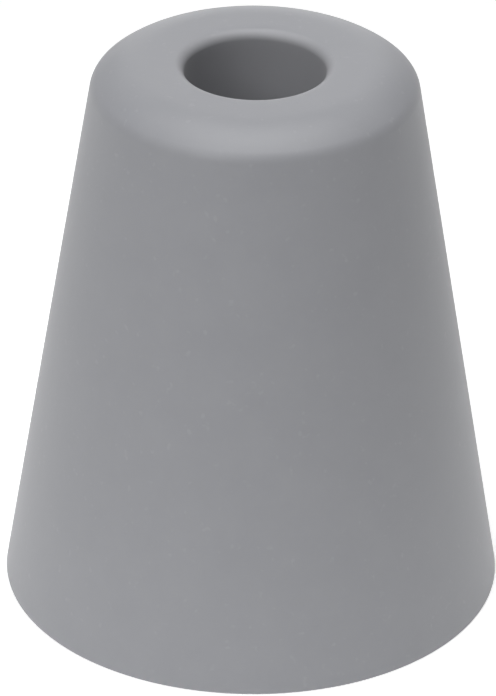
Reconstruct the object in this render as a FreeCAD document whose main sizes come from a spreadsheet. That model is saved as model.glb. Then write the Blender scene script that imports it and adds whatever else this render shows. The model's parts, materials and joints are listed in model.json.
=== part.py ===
import FreeCAD, Part
import os
import re
import Sketcher

# A rubber floor door stop, held down by a screw through its middle and a plug in the floor.
#
# Frame: the origin is the centre of the base face and +Z runs up the axis of the stop, so z = 0
# is the floor. The screw passes down through the buffer into the plug, both below z = 0.
# Millimetres and degrees.

NODE_FOLDER = "parts"
CLOSE = 1e-6

DIMENSIONS = {
    # rubber buffer: a cone with a stepped hole down its axis
    "stop_height": 45.0,
    "base_diameter": 39.4,
    "crown_diameter": 24.85,  # where the side, carried on straight, meets the top face
    "crown_flat_diameter": 21.2,  # where the bevel under the crown's rounding meets the top face
    "crown_drop": 1.6,  # how far below the top face the bevel meets the side
    "crown_top_radius": 5.5,
    "crown_side_radius": 1.5,
    "base_edge_radius": 0.1,
    "bore_diameter": 11.0,
    "bore_rim_radius": 0.8,
    "pocket_diameter": 10.5,  # the lower end of the bore, which centres the washer
    "pocket_depth": 6.0,
    "seat_height": 9.0,  # the rubber web that the screw clamps to the floor
    "screw_hole_diameter": 5.2,
    "recess_diameter": 9.0,  # room under the base for the collar of the plug
    "recess_depth": 0.8,
    # washer, ISO 7089 M5
    "washer_outer_diameter": 10.0,
    "washer_inner_diameter": 5.3,
    "washer_thickness": 1.0,
    "washer_edge_radius": 0.2,
    # pan head wood screw, 4.5 x 40
    "screw_length": 40.0,
    "head_diameter": 9.0,
    "head_height": 3.1,
    "head_edge_radius": 2.0,
    "neck_diameter": 3.3,
    "neck_length": 8.0,
    "core_diameter": 2.8,
    "core_step": 0.5,
    "tip_length": 6.0,
    "thread_diameter": 4.5,
    "thread_pitch": 2.2,
    "thread_crest_width": 0.12,
    "thread_root_width": 1.24,
    "thread_root_depth": 0.2,  # how far the root of the thread reaches into the core
    "thread_turns": 11.0,
    "tip_thread_turns": 2.0,
    # cross recess in the screw head
    "recess_span": 4.4,
    "recess_floor_span": 1.6,
    "recess_wing_width": 1.0,
    "recess_wing_depth": 2.2,
    "recess_core_diameter": 2.3,
    "recess_core_floor_diameter": 0.8,
    # nylon plug 6 x 30, open as the screw holds it
    "plug_length": 30.0,
    "plug_diameter": 6.0,
    "plug_bore_diameter": 4.7,
    "collar_diameter": 8.0,
    "plug_neck_length": 7.0,
    "plug_nose_length": 1.5,
    "plug_nose_diameter": 5.2,
    "slot_width": 0.9,
    "tooth_pitch": 2.6,
    "tooth_depth": 0.35,
    "tooth_count": 8,
}

document = FreeCAD.newDocument("DoorStop")
sheet = document.addObject("Spreadsheet::Sheet", "Dimensions")
for row, (name, number) in enumerate(DIMENSIONS.items(), start=1):
    sheet.set(f"A{row}", name)
    sheet.set(f"B{row}", str(number))
    sheet.setAlias(f"B{row}", name)
document.recompute()


def in_sheet(formula):
    """Write a formula of dimension names as an expression that reads the sheet."""
    return re.sub(r"[a-z]+_[a-z_]+", lambda name: "Dimensions." + name.group(), formula)


def value(formula):
    """The number that a formula of dimension names gives now."""
    return float(document.Dimensions.evalExpression(in_sheet(formula)))


def new_body(name, height="0"):
    """An empty body whose own z = 0 stands at this height in the frame of the stop."""
    body = document.addObject("PartDesign::Body", name)
    body.Label = name
    body.setExpression("Placement.Base.z", in_sheet(height))
    return body


def new_sketch(body, name, role="XZ_Plane"):
    """A sketch on an origin plane of the body. On XZ_Plane, its x is radius and its y is height."""
    sketch = body.newObject("Sketcher::SketchObject", name)
    plane = next(item for item in body.Origin.OriginFeatures if item.Role == role)
    sketch.AttachmentSupport = (plane, [""])
    sketch.MapMode = "FlatFace"
    return sketch


def constrain(sketch, kind, first, second, formula):
    """Add a driving dimension between two points and bind it to the sheet."""
    index = sketch.addConstraint(Sketcher.Constraint(kind, *first, *second, value(formula)))
    sketch.setExpression(f"Constraints[{index}]", in_sheet(formula))


def draw_outline(sketch, corners):
    """Draw a closed outline of straight sides. Each corner is a pair of formulas."""
    origin = (-1, 1)
    places = [FreeCAD.Vector(value(x), value(y), 0) for x, y in corners]
    for here, there in zip(places, places[1:] + places[:1]):
        sketch.addGeometry(Part.LineSegment(here, there))
    for side, (x, y) in enumerate(corners):
        before = (side - 1) % len(corners)
        sketch.addConstraint(Sketcher.Constraint("Coincident", before, 2, side, 1))
        for kind, formula, axis in (("DistanceX", x, -2), ("DistanceY", y, -1)):
            if formula == "0":
                sketch.addConstraint(Sketcher.Constraint("PointOnObject", side, 1, axis))
            else:
                constrain(sketch, kind, origin, (side, 1), formula)


def draw_circle(sketch, diameter):
    """Draw a circle about the sketch's origin."""
    centre = FreeCAD.Vector(0, 0, 0)
    up = FreeCAD.Vector(0, 0, 1)
    circle = sketch.addGeometry(Part.Circle(centre, up, value(diameter) / 2))
    sketch.addConstraint(Sketcher.Constraint("Coincident", circle, 3, -1, 1))
    index = sketch.addConstraint(Sketcher.Constraint("Diameter", circle, value(diameter)))
    sketch.setExpression(f"Constraints[{index}]", in_sheet(diameter))


def turn(body, kind, name, corners):
    """Turn an outline about the body's Z axis, as material or as a cut."""
    sketch = new_sketch(body, name + "Outline")
    draw_outline(sketch, corners)
    feature = body.newObject("PartDesign::" + kind, name)
    feature.Profile = (sketch, [""])
    feature.ReferenceAxis = (sketch, ["V_Axis"])
    feature.Angle = 360
    document.recompute()
    return feature


def cut_across(body, name, corners, width):
    """Cut an outline on XZ_Plane through the body, half the width to each side of the plane."""
    sketch = new_sketch(body, name + "Outline")
    draw_outline(sketch, corners)
    pocket = body.newObject("PartDesign::Pocket", name)
    pocket.Profile = (sketch, [""])
    pocket.SideType = "Symmetric"
    pocket.setExpression("Length", in_sheet(width))
    document.recompute()
    return pocket


def repeat_across(body, name, feature):
    """Repeat a cut a quarter turn round the Z axis."""
    pattern = body.newObject("PartDesign::PolarPattern", name)
    pattern.Originals = [feature]
    pattern.Axis = (feature.Profile[0], ["V_Axis"])
    pattern.Angle = 90
    pattern.Occurrences = 2
    body.Tip = pattern
    document.recompute()


def round_rim(body, name, diameter, height, radius):
    """Fillet the circular edge that has this diameter and height."""
    for number, edge in enumerate(body.Tip.Shape.Edges, start=1):
        if isinstance(edge.Curve, Part.Circle):
            same_size = abs(edge.Curve.Radius - value(diameter) / 2) < CLOSE
            if same_size and abs(edge.Curve.Center.z - value(height)) < CLOSE:
                rim = f"Edge{number}"
    fillet = body.newObject("PartDesign::Fillet", name)
    fillet.Base = (fillet.BaseFeature, [rim])
    fillet.setExpression("Radius", in_sheet(radius))
    document.recompute()


def wind_thread(body, name, corners, turns, taper):
    """Wind a thread section up about the Z axis, its radius growing by the taper angle."""
    sketch = new_sketch(body, name + "Section")
    draw_outline(sketch, corners)
    thread = body.newObject("PartDesign::AdditiveHelix", name)
    thread.Profile = (sketch, [""])
    thread.ReferenceAxis = (sketch, ["V_Axis"])
    thread.Mode = "pitch-height-angle"
    thread.setExpression("Pitch", in_sheet("thread_pitch"))
    thread.setExpression("Height", in_sheet(f"thread_pitch * {turns}"))
    thread.setExpression("Angle", in_sheet(taper))
    document.recompute()


def make_rubber_buffer():
    """The moulded cone. Its hole is a driver bore, a washer pocket, a screw hole and a recess."""
    body = new_body("rubber_buffer")
    # the crown's rounding is wide on top and tight at the side: two fillets on a bevel
    bevel_diameter = "crown_diameter + crown_drop * (base_diameter - crown_diameter) / stop_height"
    bevel_height = "stop_height - crown_drop"
    turn(body, "Revolution", "Cone", [
        ("0", "0"),
        ("base_diameter / 2", "0"),
        (f"({bevel_diameter}) / 2", bevel_height),
        ("crown_flat_diameter / 2", "stop_height"),
        ("0", "stop_height"),
    ])
    turn(body, "Groove", "SteppedHole", [
        ("0", "0"),
        ("recess_diameter / 2", "0"),
        ("recess_diameter / 2", "recess_depth"),
        ("screw_hole_diameter / 2", "recess_depth"),
        ("screw_hole_diameter / 2", "seat_height"),
        ("pocket_diameter / 2", "seat_height"),
        ("pocket_diameter / 2", "seat_height + pocket_depth"),
        ("bore_diameter / 2", "seat_height + pocket_depth"),
        ("bore_diameter / 2", "stop_height"),
        ("0", "stop_height"),
    ])
    round_rim(body, "CrownSide", bevel_diameter, bevel_height, "crown_side_radius")
    round_rim(body, "CrownTop", "crown_flat_diameter", "stop_height", "crown_top_radius")
    round_rim(body, "BoreRim", "bore_diameter", "stop_height", "bore_rim_radius")
    round_rim(body, "BaseEdge", "base_diameter", "0", "base_edge_radius")
    return body


def make_washer():
    """A flat steel washer on the seat, its upper edge rounded by the punch."""
    body = new_body("washer", "seat_height")
    sketch = new_sketch(body, "Rings", "XY_Plane")
    draw_circle(sketch, "washer_outer_diameter")
    draw_circle(sketch, "washer_inner_diameter")
    ring = body.newObject("PartDesign::Pad", "Ring")
    ring.Profile = (sketch, [""])
    ring.setExpression("Length", in_sheet("washer_thickness"))
    document.recompute()
    round_rim(
        body, "PunchedEdge", "washer_outer_diameter", "washer_thickness", "washer_edge_radius"
    )
    return body


def make_screw():
    """A wood screw with a threaded tip. Its own z = 0 is the underside of its head."""
    body = new_body("screw", "seat_height + washer_thickness")
    tip_start = "-(screw_length - tip_length)"
    turn(body, "Revolution", "Blank", [
        ("0", "head_height"),
        ("head_diameter / 2", "head_height"),
        ("head_diameter / 2", "0"),
        ("neck_diameter / 2", "0"),
        ("neck_diameter / 2", "-neck_length"),
        ("core_diameter / 2", "-(neck_length + core_step)"),
        ("core_diameter / 2", tip_start),
        ("0", "-screw_length"),
    ])
    round_rim(body, "PanHead", "head_diameter", "head_height", "head_edge_radius")
    turn(body, "Groove", "RecessCore", [
        ("0", "head_height"),
        ("recess_core_diameter / 2", "head_height"),
        ("recess_core_floor_diameter / 2", "head_height - recess_wing_depth"),
        ("0", "head_height - recess_wing_depth"),
    ])
    wings = cut_across(body, "RecessWings", [
        ("-recess_span / 2", "head_height"),
        ("recess_span / 2", "head_height"),
        ("recess_floor_span / 2", "head_height - recess_wing_depth"),
        ("-recess_floor_span / 2", "head_height - recess_wing_depth"),
    ], "recess_wing_width")
    repeat_across(body, "CrossRecess", wings)

    # the section leans in by the taper below the start of the tip, so that both threads meet
    taper = "atan(core_diameter / 2 / tip_length)"
    root = "core_diameter / 2 - thread_root_depth"
    crest = "thread_diameter / 2"
    drop = "thread_pitch * tip_thread_turns"
    lean = f"{drop} * core_diameter / 2 / tip_length"
    wind_thread(
        body, "Thread", thread_section(root, crest, tip_start), "thread_turns", "0"
    )
    wind_thread(
        body, "TipThread",
        thread_section(f"{root} - {lean}", f"{crest} - {lean}", f"{tip_start} - {drop}"),
        "tip_thread_turns", taper,
    )
    return body


def thread_section(root, crest, height):
    """The ridge of a wood screw's thread: wide at its root and almost sharp at its crest."""
    return [
        (root, f"{height} - thread_root_width / 2"),
        (crest, f"{height} - thread_crest_width / 2"),
        (crest, f"{height} + thread_crest_width / 2"),
        (root, f"{height} + thread_root_width / 2"),
    ]


def make_wall_plug():
    """A nylon plug: a collar on the floor, a plain neck, and toothed fingers between slots."""
    body = new_body("wall_plug")
    turn(body, "Revolution", "Sleeve", [
        ("plug_bore_diameter / 2", "recess_depth"),
        ("collar_diameter / 2", "recess_depth"),
        ("collar_diameter / 2", "0"),
        ("plug_diameter / 2", "0"),
        ("plug_diameter / 2", "-(plug_length - plug_nose_length)"),
        ("plug_nose_diameter / 2", "-plug_length"),
        ("plug_bore_diameter / 2", "-plug_length"),
    ])
    # each tooth narrows downwards, so it slides in easily and bites when pulled up
    tooth = turn(body, "Groove", "Tooth", [
        ("plug_diameter / 2", "-plug_neck_length"),
        ("plug_diameter / 2 - tooth_depth", "-(plug_neck_length + tooth_pitch)"),
        ("plug_diameter / 2", "-(plug_neck_length + tooth_pitch)"),
    ])
    teeth = body.newObject("PartDesign::LinearPattern", "Teeth")
    teeth.Originals = [tooth]
    teeth.Direction = (tooth.Profile[0], ["V_Axis"])
    teeth.Reversed = True
    teeth.setExpression("Length", in_sheet("tooth_pitch * (tooth_count - 1)"))
    teeth.setExpression("Occurrences", in_sheet("tooth_count"))
    body.Tip = teeth
    document.recompute()
    slot = cut_across(body, "Slot", [
        ("-plug_diameter", "-plug_neck_length"),
        ("plug_diameter", "-plug_neck_length"),
        ("plug_diameter", "-(plug_length + plug_nose_length)"),
        ("-plug_diameter", "-(plug_length + plug_nose_length)"),
    ], "slot_width")
    repeat_across(body, "CrossSlots", slot)
    return body


def check_all(pieces):
    """Stop on anything that failed to build, before a file is written."""
    for item in document.Objects:
        if "Invalid" in item.State or "Error" in item.State:
            raise RuntimeError(f"{item.Label} did not build: {item.State}")
    for piece in pieces:
        if piece.Shape.isNull() or not piece.Shape.isValid():
            raise RuntimeError(f"{piece.Label} has no valid shape")


pieces = [make_rubber_buffer(), make_washer(), make_screw(), make_wall_plug()]
document.recompute()
check_all(pieces)
os.makedirs(NODE_FOLDER, exist_ok=True)
for piece in pieces:
    piece.Shape.exportStep(f"{NODE_FOLDER}/{piece.Label}.step")
    print(f"{piece.Label}: {len(piece.Shape.Solids)} solid, {piece.Shape.Volume:.1f} mm3")
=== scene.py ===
"""A grey rubber door stop, screwed down through its bore, on a plain pale floor.

Everything is in metres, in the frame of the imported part: the origin is the centre of the base
face, +Z runs up the axis of the stop, and the floor is z = 0.
"""
import json
import math

import bpy
from mathutils import Euler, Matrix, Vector


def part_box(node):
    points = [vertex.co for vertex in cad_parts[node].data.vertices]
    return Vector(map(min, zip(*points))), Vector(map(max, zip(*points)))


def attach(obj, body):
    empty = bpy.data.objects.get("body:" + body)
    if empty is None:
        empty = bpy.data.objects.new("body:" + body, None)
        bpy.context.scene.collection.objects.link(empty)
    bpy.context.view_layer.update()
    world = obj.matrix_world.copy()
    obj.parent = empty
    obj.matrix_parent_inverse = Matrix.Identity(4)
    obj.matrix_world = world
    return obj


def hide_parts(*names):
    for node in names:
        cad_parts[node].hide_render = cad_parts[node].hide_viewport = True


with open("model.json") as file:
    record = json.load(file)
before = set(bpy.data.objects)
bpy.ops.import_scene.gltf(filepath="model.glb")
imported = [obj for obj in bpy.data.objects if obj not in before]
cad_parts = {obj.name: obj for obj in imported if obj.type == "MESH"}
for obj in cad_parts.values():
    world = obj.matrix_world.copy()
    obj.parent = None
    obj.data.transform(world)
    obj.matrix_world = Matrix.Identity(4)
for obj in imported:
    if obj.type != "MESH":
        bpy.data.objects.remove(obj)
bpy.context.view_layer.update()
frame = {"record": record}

MM = 0.001

# sizes of the buffer, from the frame
_, BUFFER_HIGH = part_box("rubber_buffer")
WASHER_LOW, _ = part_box("washer")
_, PLUG_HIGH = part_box("wall_plug")
MOUNTS = {mount["name"]: mount for mount in frame["record"]["mounts"]}
HEIGHT = BUFFER_HIGH.z
BORE_RADIUS = MOUNTS["driver_bore"]["dims"]["r_mm"] * MM
SEAT_HEIGHT = WASHER_LOW.z
RECESS_DEPTH = PLUG_HIGH.z

# the rest of the moulding, as the CAD part has it
BASE_CORNER_RADIUS = 19.7 * MM
CROWN_CORNER_RADIUS = 12.425 * MM
CROWN_FLAT_RADIUS = 10.6 * MM
CROWN_DROP = 1.6 * MM
POCKET_RADIUS = 5.25 * MM
POCKET_TOP = 15.0 * MM
SCREW_HOLE_RADIUS = 2.6 * MM
RECESS_RADIUS = 4.5 * MM

# how far its edges are rounded; the last two are for the steps and corners of the hole
CROWN_TOP_ROUNDING = 5.5 * MM
CROWN_SIDE_ROUNDING = 1.5 * MM
BASE_ROUNDING = 0.1 * MM
RIM_ROUNDING = 0.8 * MM
STEP_ROUNDING = 0.15 * MM
CORNER_ROUNDING = 0.12 * MM

# how finely the moulding is divided, along its outline and about its axis
OUTLINE_STEP = 0.6 * MM
SEGMENTS = 360


def arc(before, corner, after, radius, steps):
    """Points of the arc of this radius that rounds a corner between two straight sides."""
    start, end = (before - corner).normalized(), (after - corner).normalized()
    half = start.angle(end) / 2
    centre = corner + (start + end).normalized() * (radius / math.sin(half))
    reach = radius / math.tan(half)
    first = corner + start * reach - centre
    last = corner + end * reach - centre
    turn = first.angle(last)
    points = []
    for step in range(steps + 1):
        share = step / steps
        blend = first * math.sin((1 - share) * turn) + last * math.sin(share * turn)
        points.append(centre + blend / math.sin(turn))
    return points


def straight(start, end):
    """Evenly spaced points between two others, without either."""
    steps = max(1, round((end - start).length / OUTLINE_STEP))
    return [start.lerp(end, step / steps) for step in range(1, steps)]


def buffer_outline():
    """The buffer's closed outline as radius and height: up the outside and down the hole."""
    # the crown is rounded in two stages, on a bevel between the side and the top
    base_corner = Vector((BASE_CORNER_RADIUS, 0))
    bevel_end = base_corner.lerp(Vector((CROWN_CORNER_RADIUS, HEIGHT)), 1 - CROWN_DROP / HEIGHT)
    # each corner with the radius of its rounding and the number of steps round it
    corners = [
        (Vector((RECESS_RADIUS, 0)), CORNER_ROUNDING, 3),
        (base_corner, BASE_ROUNDING, 5),
        (bevel_end, CROWN_SIDE_ROUNDING, 14),
        (Vector((CROWN_FLAT_RADIUS, HEIGHT)), CROWN_TOP_ROUNDING, 16),
        (Vector((BORE_RADIUS, HEIGHT)), RIM_ROUNDING, 10),
        (Vector((BORE_RADIUS, POCKET_TOP)), STEP_ROUNDING, 3),
        (Vector((POCKET_RADIUS, POCKET_TOP)), STEP_ROUNDING, 3),
        (Vector((POCKET_RADIUS, SEAT_HEIGHT)), CORNER_ROUNDING, 3),
        (Vector((SCREW_HOLE_RADIUS, SEAT_HEIGHT)), STEP_ROUNDING, 3),
        (Vector((SCREW_HOLE_RADIUS, RECESS_DEPTH)), STEP_ROUNDING, 3),
        (Vector((RECESS_RADIUS, RECESS_DEPTH)), CORNER_ROUNDING, 3),
    ]
    outline = []
    for index, (corner, radius, steps) in enumerate(corners):
        before = corners[index - 1][0]
        after = corners[(index + 1) % len(corners)][0]
        bend = arc(before, corner, after, radius, steps)
        if outline:
            outline += straight(outline[-1], bend[0])
        outline += bend
    outline += straight(outline[-1], outline[0])
    return outline


def lathe(name, outline, segments):
    """Turn a closed outline about the Z axis."""
    vertices = []
    for segment in range(segments):
        angle = 2 * math.pi * segment / segments
        vertices += [(p.x * math.cos(angle), p.x * math.sin(angle), p.y) for p in outline]
    faces = []
    rows = len(outline)
    for segment in range(segments):
        here, there = segment * rows, (segment + 1) % segments * rows
        for row in range(rows):
            after = (row + 1) % rows
            faces.append((here + row, there + row, there + after, here + after))
    mesh = bpy.data.meshes.new(name)
    mesh.from_pydata(vertices, [], faces)
    mesh.shade_smooth()
    piece = bpy.data.objects.new(name, mesh)
    bpy.context.scene.collection.objects.link(piece)
    return piece


# materials

RUBBER_DARK = (0.329, 0.334, 0.357)
RUBBER_PALE = (0.379, 0.382, 0.403)
RUBBER_GRAIN_DEPTH = 0.014 * MM
ZINC_DULL = (0.56, 0.58, 0.61)
ZINC_BRIGHT = (0.68, 0.69, 0.70)
ZINC_MARK_DEPTH = 0.006 * MM
NYLON_DARK = (0.60, 0.60, 0.58)
NYLON_PALE = (0.66, 0.66, 0.64)
NYLON_GRAIN_DEPTH = 0.008 * MM


def new_material(name):
    """A material with its node tree, its Principled shader and its object coordinates."""
    material = bpy.data.materials.new(name)
    material.use_nodes = True
    tree = material.node_tree
    shader = tree.nodes["Principled BSDF"]
    place = tree.nodes.new("ShaderNodeTexCoord").outputs["Object"]
    return material, tree, shader, place


def noise_at(tree, place, scale, detail, roughness=0.5):
    """A noise texture's value, with scale in cycles per metre."""
    node = tree.nodes.new("ShaderNodeTexNoise")
    node.inputs["Scale"].default_value = scale
    node.inputs["Detail"].default_value = detail
    node.inputs["Roughness"].default_value = roughness
    tree.links.new(place, node.inputs["Vector"])
    return node.outputs["Fac"]


def remap(tree, value, start, end, from_start=0.3, from_end=0.7):
    """Stretch a value to a new range and hold it there. The default old range suits noise."""
    node = tree.nodes.new("ShaderNodeMapRange")
    node.inputs["From Min"].default_value = from_start
    node.inputs["From Max"].default_value = from_end
    node.inputs["To Min"].default_value = start
    node.inputs["To Max"].default_value = end
    tree.links.new(value, node.inputs["Value"])
    return node.outputs["Result"]


def combine(tree, operation, first, second):
    """Two values put together by a math operation."""
    node = tree.nodes.new("ShaderNodeMath")
    node.operation = operation
    tree.links.new(first, node.inputs[0])
    tree.links.new(second, node.inputs[1])
    return node.outputs["Value"]


def mix_colours(tree, factor, first, second):
    """Blend two colours by a factor, which the node holds to 0 to 1."""
    node = tree.nodes.new("ShaderNodeMix")
    node.data_type = "RGBA"
    node.inputs["A"].default_value = (*first, 1)
    node.inputs["B"].default_value = (*second, 1)
    tree.links.new(factor, node.inputs["Factor"])
    return node.outputs["Result"]


def bump(tree, height, depth):
    """A bump of this depth in metres."""
    node = tree.nodes.new("ShaderNodeBump")
    node.inputs["Strength"].default_value = 1.0
    node.inputs["Distance"].default_value = depth
    tree.links.new(height, node.inputs["Height"])
    return node.outputs["Normal"]


def axis_distance(tree, place):
    """How far a point is from the Z axis."""
    flatten = tree.nodes.new("ShaderNodeVectorMath")
    flatten.operation = "MULTIPLY"
    flatten.inputs[1].default_value = (1, 1, 0)
    tree.links.new(place, flatten.inputs[0])
    length = tree.nodes.new("ShaderNodeVectorMath")
    length.operation = "LENGTH"
    tree.links.new(flatten.outputs["Vector"], length.inputs[0])
    return length.outputs["Value"]


def rubber_material():
    """Matte moulded rubber: an even grain, faint clouds, sparse specks, painted light in the bore, a
    sheen.
    """
    material, tree, shader, place = new_material("grey_rubber")
    cloud = noise_at(tree, place, scale=260, detail=6, roughness=0.65)
    specks = noise_at(tree, place, scale=1500, detail=1)
    grain = noise_at(tree, place, scale=620, detail=7)
    cloudy = remap(tree, cloud, 0, 0.33)
    speckled = combine(tree, "ADD", cloudy, remap(tree, specks, 0, 0.5, 0.68, 0.78))
    # painted light: the colour turns lighter down the bore and over its rim, standing in for light
    # reaching into the hole
    painted_bore_light = remap(tree, axis_distance(tree, place), 1, 0, BORE_RADIUS, BORE_RADIUS + RIM_ROUNDING)
    # the clouds and specks are the rubber's own tone; the painted light in the bore is added on top
    # of them
    mottle_and_painted_bore_light = combine(tree, "ADD", speckled, painted_bore_light)
    colour = mix_colours(tree, mottle_and_painted_bore_light, RUBBER_DARK, RUBBER_PALE)
    tree.links.new(colour, shader.inputs["Base Color"])
    tree.links.new(remap(tree, cloud, 0.47, 0.53), shader.inputs["Roughness"])
    tree.links.new(bump(tree, grain, RUBBER_GRAIN_DEPTH), shader.inputs["Normal"])
    shader.inputs["Sheen Weight"].default_value = 0.14
    shader.inputs["Sheen Roughness"].default_value = 0.5
    return material


def zinc_material(name, squash):
    """Bright zinc plate on steel: uneven gloss and fine tool marks, squashed by these factors."""
    material, tree, shader, place = new_material(name)
    squeeze = tree.nodes.new("ShaderNodeMapping")
    squeeze.inputs["Scale"].default_value = squash
    tree.links.new(place, squeeze.inputs["Vector"])
    cloud = noise_at(tree, place, scale=700, detail=4)
    marks = noise_at(tree, squeeze.outputs["Vector"], scale=3000, detail=3)
    colour = mix_colours(tree, remap(tree, cloud, 0, 1), ZINC_DULL, ZINC_BRIGHT)
    tree.links.new(colour, shader.inputs["Base Color"])
    tree.links.new(remap(tree, cloud, 0.36, 0.26), shader.inputs["Roughness"])
    tree.links.new(bump(tree, marks, ZINC_MARK_DEPTH), shader.inputs["Normal"])
    shader.inputs["Metallic"].default_value = 1.0
    return material


def nylon_material():
    """Pale grey nylon, waxy, with a fine satin skin."""
    material, tree, shader, place = new_material("grey_nylon")
    cloud = noise_at(tree, place, scale=300, detail=3)
    grain = noise_at(tree, place, scale=2500, detail=4)
    colour = mix_colours(tree, remap(tree, cloud, 0, 1), NYLON_DARK, NYLON_PALE)
    tree.links.new(colour, shader.inputs["Base Color"])
    tree.links.new(remap(tree, cloud, 0.42, 0.50), shader.inputs["Roughness"])
    tree.links.new(bump(tree, grain, NYLON_GRAIN_DEPTH), shader.inputs["Normal"])
    return material


def dress(node, material):
    """Give a CAD node's object a finished material in each of its slots."""
    for slot in bpy.data.objects[node].material_slots:
        slot.material = material


buffer = lathe("rubber_moulding", buffer_outline(), SEGMENTS)
buffer.data.materials.append(rubber_material())
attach(buffer, "stop")
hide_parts("rubber_buffer")

dress("washer", zinc_material("zinc_washer", (1, 1, 1)))
dress("screw", zinc_material("zinc_screw", (1, 1, 6)))
dress("wall_plug", nylon_material())

# the studio

FLOOR_REACH = 6.0
FLOOR_COLOUR = (0.92, 0.92, 0.92, 1)
WHITE = (1, 1, 1, 1)

# the floor's glow: strengths, and the distances over which it comes in or fades out
NEAR_GLOW = 0.44
NEAR_GLOW_RISE = (0.0190, 0.0197)
NEAR_GLOW_FADE = (0.05, 0.11)
BACK_GLOW = 0.28
BACK_GLOW_RISE = (0.05, 0.11)
# glow that joins in further out, where the lamps' own light fades: strength, start and end
FAR_GLOWS = (
    (0.12, 0.06, 0.16),
    (0.26, 0.20, 0.50),
    (0.18, 0.50, 2.00),
)

# the world's light, and the sines of the angles between which the wall gives way to the ceiling
WALL_GLOW = 0.75
CEILING_GLOW = 0.02
WALL_TOP = (0.01, 0.04)

# azimuth from the front towards +X and elevation in degrees, distance from the middle of the
# stop and width in metres, power in watts
LAMPS = {
    "overhead": (0, 90, 0.3, 0.25, 0.77),
    "key": (-42, 38, 2.0, 1.0, 6.2),
    "key_front": (-20, 40, 2.0, 1.0, 3.6),
    "key_low": (-40, 15, 2.0, 1.0, 1.8),
    "back": (180, 12, 2.0, 1.0, 5.5),
}


def make_floor():
    """A wide pale floor that glows: in a pool round the stop, behind it, and more further out."""
    mesh = bpy.data.meshes.new("floor")
    corners = [(-FLOOR_REACH, -FLOOR_REACH, 0), (FLOOR_REACH, -FLOOR_REACH, 0)]
    corners += [(FLOOR_REACH, FLOOR_REACH, 0), (-FLOOR_REACH, FLOOR_REACH, 0)]
    mesh.from_pydata(corners, [], [(0, 1, 2, 3)])
    floor = bpy.data.objects.new("floor", mesh)
    bpy.context.scene.collection.objects.link(floor)
    material, tree, shader, place = new_material("pale_floor")
    radius = axis_distance(tree, place)
    split = tree.nodes.new("ShaderNodeSeparateXYZ")
    tree.links.new(place, split.inputs["Vector"])
    outside = remap(tree, radius, 0, 1, *NEAR_GLOW_RISE)
    near = remap(tree, radius, NEAR_GLOW, 0, *NEAR_GLOW_FADE)
    back = remap(tree, split.outputs["Y"], 0, BACK_GLOW, *BACK_GLOW_RISE)
    glow = combine(tree, "ADD", combine(tree, "MULTIPLY", near, outside), back)
    for strength, start, end in FAR_GLOWS:
        glow = combine(tree, "ADD", glow, remap(tree, radius, 0, strength, start, end))
    tree.links.new(glow, shader.inputs["Emission Strength"])
    shader.inputs["Emission Color"].default_value = WHITE
    shader.inputs["Base Color"].default_value = FLOOR_COLOUR
    shader.inputs["Roughness"].default_value = 0.9
    shader.inputs["Specular IOR Level"].default_value = 0.1
    material.cycles.emission_sampling = "NONE"
    mesh.materials.append(material)


def make_world():
    """Pale light from the horizon and below it, under an almost dark ceiling."""
    world = bpy.data.worlds.new("studio")
    bpy.context.scene.world = world
    world.use_nodes = True
    tree = world.node_tree
    direction = tree.nodes.new("ShaderNodeTexCoord").outputs["Generated"]
    split = tree.nodes.new("ShaderNodeSeparateXYZ")
    tree.links.new(direction, split.inputs["Vector"])
    glow = remap(tree, split.outputs["Z"], WALL_GLOW, CEILING_GLOW, *WALL_TOP)
    background = tree.nodes["Background"]
    background.inputs["Color"].default_value = WHITE
    tree.links.new(glow, background.inputs["Strength"])


def soft_light(name, azimuth, elevation, distance, size, power):
    """A square soft box that faces the middle of the stop."""
    turn, rise = math.radians(azimuth), math.radians(elevation)
    away = Vector((math.sin(turn) * math.cos(rise), -math.cos(turn) * math.cos(rise), math.sin(rise)))
    data = bpy.data.lights.new(name, "AREA")
    data.shape = "SQUARE"
    data.size = size
    data.energy = power
    light = bpy.data.objects.new(name, data)
    light.location = Vector((0, 0, HEIGHT / 2)) + away * distance
    light.rotation_euler = (-away).to_track_quat("-Z", "Y").to_euler()
    bpy.context.scene.collection.objects.link(light)


make_floor()
make_world()
for lamp_name, lamp in LAMPS.items():
    soft_light(lamp_name, *lamp)

# camera

LENS = 307.2
CAMERA_ELEVATION = math.radians(29.76)
CAMERA_DISTANCE = 469.3 * MM
AIM = Vector((-0.38 * MM, 0, 19.80 * MM))
CAMERA_ROLL = math.radians(0.47)
NEAREST_SEEN = 0.01
FURTHEST_SEEN = 50


def make_camera():
    """A long lens that looks down on the stop from the front."""
    data = bpy.data.cameras.new("camera")
    data.lens = LENS
    data.clip_start = NEAREST_SEEN
    data.clip_end = FURTHEST_SEEN
    camera = bpy.data.objects.new("camera", data)
    back = Vector((0, -math.cos(CAMERA_ELEVATION), math.sin(CAMERA_ELEVATION)))
    camera.location = AIM + back * CAMERA_DISTANCE
    level = Euler((math.pi / 2 - CAMERA_ELEVATION, 0, 0)).to_matrix()
    roll = Euler((0, 0, CAMERA_ROLL)).to_matrix()
    camera.rotation_euler = (level @ roll).to_euler()
    bpy.context.scene.collection.objects.link(camera)
    bpy.context.scene.camera = camera


make_camera()
bpy.context.scene.view_settings.view_transform = "Standard"
